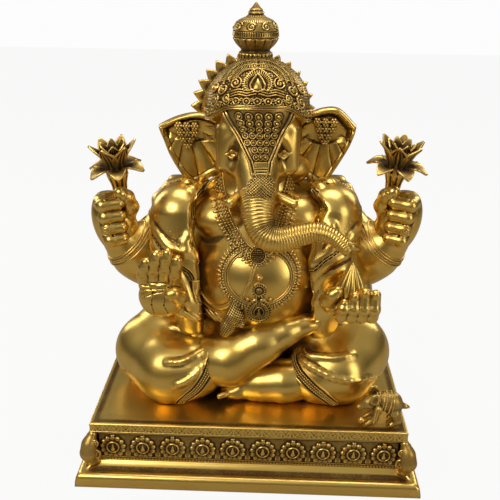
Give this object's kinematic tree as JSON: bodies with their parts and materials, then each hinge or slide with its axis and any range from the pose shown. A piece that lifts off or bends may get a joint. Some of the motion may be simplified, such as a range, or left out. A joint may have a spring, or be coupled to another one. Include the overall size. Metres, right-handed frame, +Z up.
{
  "type": "ganesha idol",
  "caption": "Seated four-armed elephant-headed brass figure with a tall crown, on a panelled rectangular plinth, holding lotuses and a sweet, with a small mouse beside it",
  "frame": {"origin": "middle of the plinth's underside", "axes": "+Z up, the figure faces -Y, +X is the figure's own left"},
  "size_m": [0.462, 0.344, 0.6107],
  "materials": {
    "polished_brass": "polished, with brown patina in the hollows",
    "antique_brass": "engraved, dark patina with the high spots rubbed bright",
    "anchor_steel": "plain zinc-plated fixings, out of sight"
  },
  "bodies": {
    "root": {"base_foot_frame": "polished_brass", "base_top_plate": "polished_brass", "torso": "polished_brass", "right_leg": "polished_brass", "left_leg": "polished_brass", "right_shin": "polished_brass", "left_shin": "polished_brass", "right_rear_arm": "polished_brass", "left_rear_arm": "polished_brass", "right_front_arm": "polished_brass", "left_front_arm": "polished_brass", "right_rear_fist": "polished_brass", "left_rear_fist": "polished_brass", "right_front_hand": "polished_brass", "left_front_hand": "polished_brass", "head": "polished_brass", "trunk": "polished_brass", "right_ear": "polished_brass", "left_ear": "polished_brass", "right_tusk": "polished_brass", "left_tusk": "polished_brass", "right_shawl": "polished_brass", "left_shawl": "polished_brass", "base_front_panel": "antique_brass", "base_back_panel": "antique_brass", "base_left_panel": "antique_brass", "base_right_panel": "antique_brass", "corner_scroll_front_right": "antique_brass", "corner_scroll_front_left": "antique_brass", "corner_scroll_back_right": "antique_brass", "corner_scroll_back_left": "antique_brass", "crown_dome": "antique_brass", "crown_finial": "antique_brass", "halo_disc": "antique_brass", "forehead_shield": "antique_brass", "right_ear_flower": "antique_brass", "left_ear_flower": "antique_brass", "right_lotus": "antique_brass", "left_lotus": "antique_brass", "modak": "antique_brass", "long_garland": "antique_brass", "sacred_thread": "antique_brass", "tall_pendant": "antique_brass", "waist_sash": "antique_brass", "mouse": "antique_brass", "mouse_sweet": "antique_brass", "anchor_bar_front": "anchor_steel", "anchor_bar_back": "anchor_steel", "anchor_bolt_1": "anchor_steel", "anchor_bolt_2": "anchor_steel", "anchor_bolt_3": "anchor_steel", "anchor_bolt_4": "anchor_steel", "anchor_nut_1": "anchor_steel", "anchor_nut_2": "anchor_steel", "anchor_nut_3": "anchor_steel", "anchor_nut_4": "anchor_steel"}
  },
  "joints": []
}
